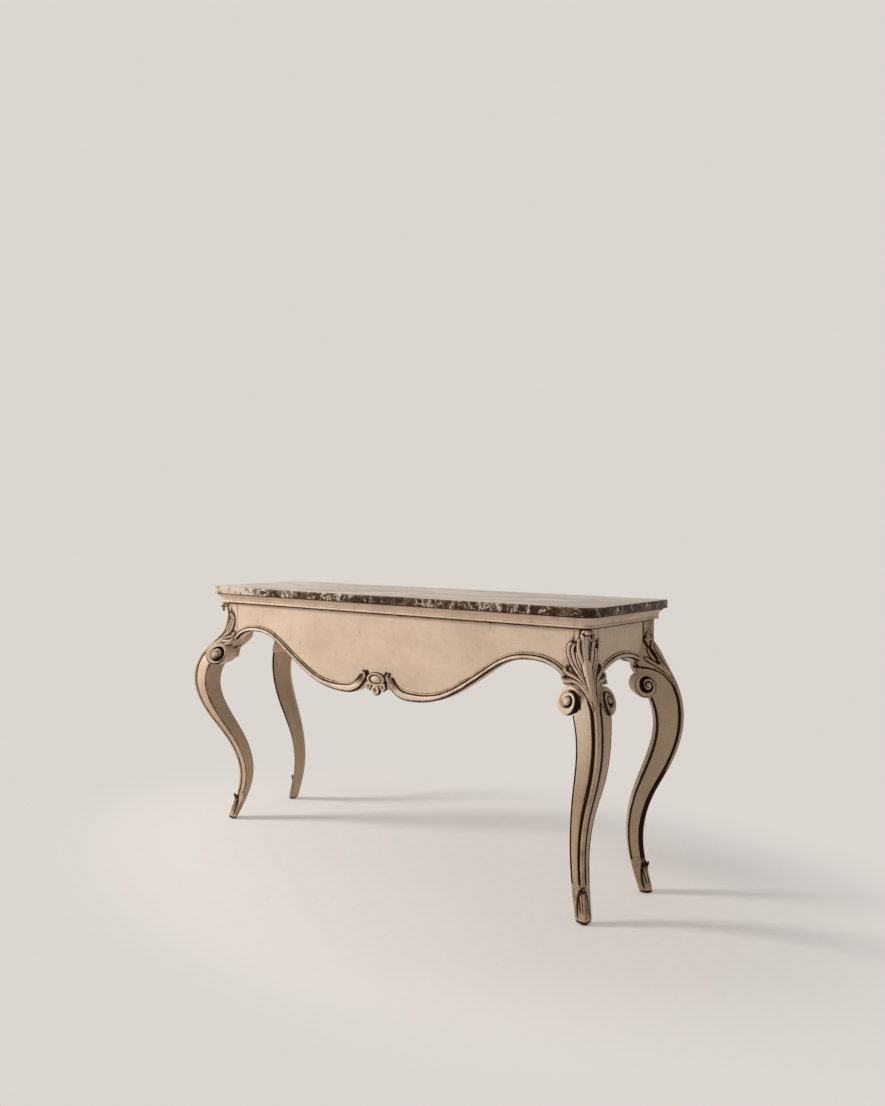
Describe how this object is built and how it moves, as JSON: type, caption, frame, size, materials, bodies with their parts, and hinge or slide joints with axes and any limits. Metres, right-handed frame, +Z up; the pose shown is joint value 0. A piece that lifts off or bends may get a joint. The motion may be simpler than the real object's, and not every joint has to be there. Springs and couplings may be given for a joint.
{
  "type": "pier table",
  "caption": "Long narrow pier table: a veined marble slab on a painted, carved wooden frame with S-curved legs, leafy knees, scroll ears, a waved apron and a central ornament.",
  "frame": {"origin": "on the floor, in the middle of the table's plan", "axes": "+X along the table to its right as seen from the front, +Y towards the wall, +Z up"},
  "size_m": [1.8144, 0.476, 0.88],
  "materials": {
    "marble": "polished, dark brown with cream veins",
    "painted_wood": "satin cream paint, brown glaze in the carving, worn edges",
    "bare_wood": "sanded, unpainted",
    "steel": "zinc plated",
    "felt": "pressed felt",
    "glide": "dark nylon"
  },
  "bodies": {
    "root": {"marble_top": "marble", "cornice_front": "painted_wood", "cornice_left": "painted_wood", "cornice_right": "painted_wood", "apron_front": "painted_wood", "apron_left": "painted_wood", "apron_right": "painted_wood", "apron_back": "bare_wood", "bead_front_left": "painted_wood", "bead_front_right": "painted_wood", "bead_left": "painted_wood", "bead_right": "painted_wood", "centre_ornament": "painted_wood", "leg_front_left": "painted_wood", "leg_front_right": "painted_wood", "leg_back_left": "painted_wood", "leg_back_right": "painted_wood", "scroll_front_left_front": "painted_wood", "scroll_front_left_side": "painted_wood", "scroll_front_right_front": "painted_wood", "scroll_front_right_side": "painted_wood", "scroll_back_left": "painted_wood", "scroll_back_right": "painted_wood", "corner_brace_front_left": "bare_wood", "corner_brace_front_right": "bare_wood", "corner_brace_back_left": "bare_wood", "corner_brace_back_right": "bare_wood", "brace_bolts": "steel", "cross_rail_left": "bare_wood", "cross_rail_middle": "bare_wood", "cross_rail_right": "bare_wood", "slab_pads": "felt", "foot_glides": "glide"}
  },
  "joints": []
}
